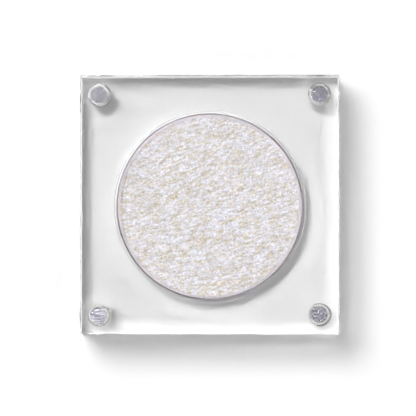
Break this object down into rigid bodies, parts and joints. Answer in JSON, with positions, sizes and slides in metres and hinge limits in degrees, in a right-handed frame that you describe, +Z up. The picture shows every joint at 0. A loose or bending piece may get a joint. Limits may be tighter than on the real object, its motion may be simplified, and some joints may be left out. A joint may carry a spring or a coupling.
{
  "type": "pressed powder compact",
  "caption": "Square clear compact: a thick base plate holds a round pan of pearl powder under a thick lid plate that lifts off its magnets.",
  "frame": {"origin": "centre of the base plate's underside, on the surface that the case lies on", "axes": "+Z up through the lid, square to the plates; +X to the right and +Y to the back as seen with the glued pan nearest the front edge"},
  "size_m": [0.051, 0.051, 0.01],
  "materials": {
    "clear_acrylic": "water-clear cast acrylic with polished faces and edges",
    "tinplate": "thin drawn tinplate, softly bright, with a flared lip",
    "pearl_powder": "pressed pearl powder, rough and streaky, white and lavender with beige-gold flecks",
    "adhesive": "matt white double-sided adhesive disc",
    "nickel_plate": "dull nickel plating, mottled and lightly scratched, with a bright rounded edge",
    "clear_glue": "set clear glue with a faint olive tint"
  },
  "bodies": {
    "base": {"base": "clear_acrylic", "pan": "tinplate", "pan_adhesive": "adhesive", "powder_cake": "pearl_powder", "base_magnet_front_left": "nickel_plate", "base_magnet_front_right": "nickel_plate", "base_magnet_back_left": "nickel_plate", "base_magnet_back_right": "nickel_plate", "base_glue_front_left": "clear_glue", "base_glue_front_right": "clear_glue", "base_glue_back_left": "clear_glue", "base_glue_back_right": "clear_glue"},
    "lid": {"lid": "clear_acrylic", "lid_magnet_front_left": "nickel_plate", "lid_magnet_front_right": "nickel_plate", "lid_magnet_back_left": "nickel_plate", "lid_magnet_back_right": "nickel_plate", "lid_glue_front_left": "clear_glue", "lid_glue_front_right": "clear_glue", "lid_glue_back_left": "clear_glue", "lid_glue_back_right": "clear_glue"}
  },
  "joints": [
    {"name": "lid_lift", "type": "slide", "parent": "base", "child": "lid", "axis": [0, 0, 1], "range_m": [0, 0.03]}
  ]
}
